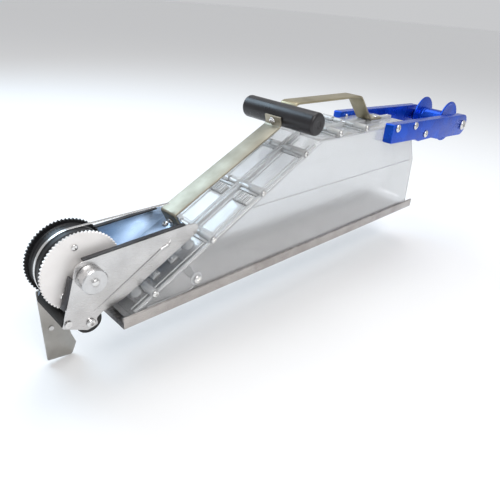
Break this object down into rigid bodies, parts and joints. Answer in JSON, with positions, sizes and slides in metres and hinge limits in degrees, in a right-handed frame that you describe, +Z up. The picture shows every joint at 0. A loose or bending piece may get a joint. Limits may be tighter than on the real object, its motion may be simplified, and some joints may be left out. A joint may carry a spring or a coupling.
{
  "type": "drywall taping tool",
  "caption": "Hand-held drywall taping tool: a clear compound box on a slide-off steel tray, with a toothed tape wheel, T-grip, carrying handle and a blue tape spool yoke.",
  "frame": {"origin": "centre of the slide-off tray's flat underside", "axes": "+X runs back along the tool from the tape wheel to the spool, +Z up from the tray, -Y the side with the bright wheel disc"},
  "size_m": [0.918, 0.1362, 0.306],
  "materials": {
    "clear_plastic": "clear moulded polycarbonate, gloss",
    "stainless": "folded stainless sheet, fine brushed",
    "strap_steel": "warm grey flat bar, brushed along its length",
    "screw_steel": "bright turned steel",
    "aluminium": "machined bright aluminium",
    "black_disc": "black satin",
    "drum": "black moulded plastic",
    "rubber": "black rubber",
    "grip": "black moulded grip, satin",
    "blue_anodised": "blue anodised aluminium, satin"
  },
  "bodies": {
    "body": {"box_half_near": "clear_plastic", "box_half_far": "clear_plastic", "seam_gasket": "rubber", "nose_wiper": "rubber", "shell_screw_1": "screw_steel", "shell_screw_2": "screw_steel", "shell_screw_3": "screw_steel", "shell_screw_4": "screw_steel", "shell_screw_5": "screw_steel", "shell_screw_6": "screw_steel", "gate_screw_near": "screw_steel", "gate_screw_far": "screw_steel", "head_bracket": "stainless", "fin_blade": "stainless", "fin_rivet_1": "screw_steel", "fin_rivet_2": "screw_steel", "web_screw_near_1": "screw_steel", "web_screw_near_2": "screw_steel", "web_screw_far_1": "screw_steel", "web_screw_far_2": "screw_steel", "idler_bolt": "screw_steel", "cross_shaft": "screw_steel", "strap_screw": "screw_steel", "grip_bolt": "screw_steel", "handle_screw_near": "screw_steel", "handle_screw_far": "screw_steel", "yoke_bolt_near_1": "screw_steel", "yoke_bolt_near_2": "screw_steel", "yoke_bolt_near_3": "screw_steel", "yoke_bolt_far_1": "screw_steel", "yoke_bolt_far_2": "screw_steel", "yoke_bolt_far_3": "screw_steel", "spool_axle": "screw_steel", "tape_stripper": "strap_steel", "front_strap": "strap_steel", "carry_handle": "strap_steel", "t_grip": "grip", "yoke_arm_near": "blue_anodised", "yoke_arm_far": "blue_anodised", "yoke_spacer": "blue_anodised"},
    "tape_wheel": {"wheel_drum": "drum", "wheel_disc_near": "aluminium", "wheel_disc_far": "black_disc", "disc_screw_1": "screw_steel", "disc_screw_2": "screw_steel", "disc_screw_3": "screw_steel", "wheel_axle": "screw_steel", "wheel_collar_near": "aluminium", "wheel_collar_far": "aluminium", "wheel_knob_near": "aluminium", "wheel_knob_far": "aluminium", "knob_screw": "screw_steel"},
    "tray": {"base_tray": "stainless"},
    "gate": {"flow_gate": "rubber"},
    "idler_near": {"idler_wheel_near": "rubber"},
    "idler_far": {"idler_wheel_far": "rubber"},
    "front_roller": {"cross_roller": "rubber"},
    "spool": {"spool_core": "blue_anodised", "spool_flange": "blue_anodised"}
  },
  "joints": [
    {"name": "tray_slide", "type": "slide", "parent": "body", "child": "tray", "axis": [1, 0, 0], "range_m": [0, 0.7]},
    {"name": "gate_hinge", "type": "hinge", "parent": "body", "child": "gate", "pos_m": [-0.229, 0, 0.029], "axis": [0, -1, 0], "range_deg": [0, 22]},
    {"name": "wheel_spin", "type": "hinge", "parent": "body", "child": "tape_wheel", "pos_m": [-0.369, 0, 0.0775], "axis": [0, 1, 0], "continuous": true},
    {"name": "idler_near_spin", "type": "hinge", "parent": "body", "child": "idler_near", "pos_m": [-0.3715, 0, 0.017], "axis": [0, 1, 0], "continuous": true},
    {"name": "idler_far_spin", "type": "hinge", "parent": "body", "child": "idler_far", "pos_m": [-0.3715, 0, 0.017], "axis": [0, 1, 0], "continuous": true},
    {"name": "roller_spin", "type": "hinge", "parent": "body", "child": "front_roller", "pos_m": [-0.3975, 0, 0.0265], "axis": [0, 1, 0], "continuous": true},
    {"name": "spool_spin", "type": "hinge", "parent": "body", "child": "spool", "pos_m": [0.46, 0, 0.161], "axis": [0, 1, 0], "continuous": true}
  ]
}
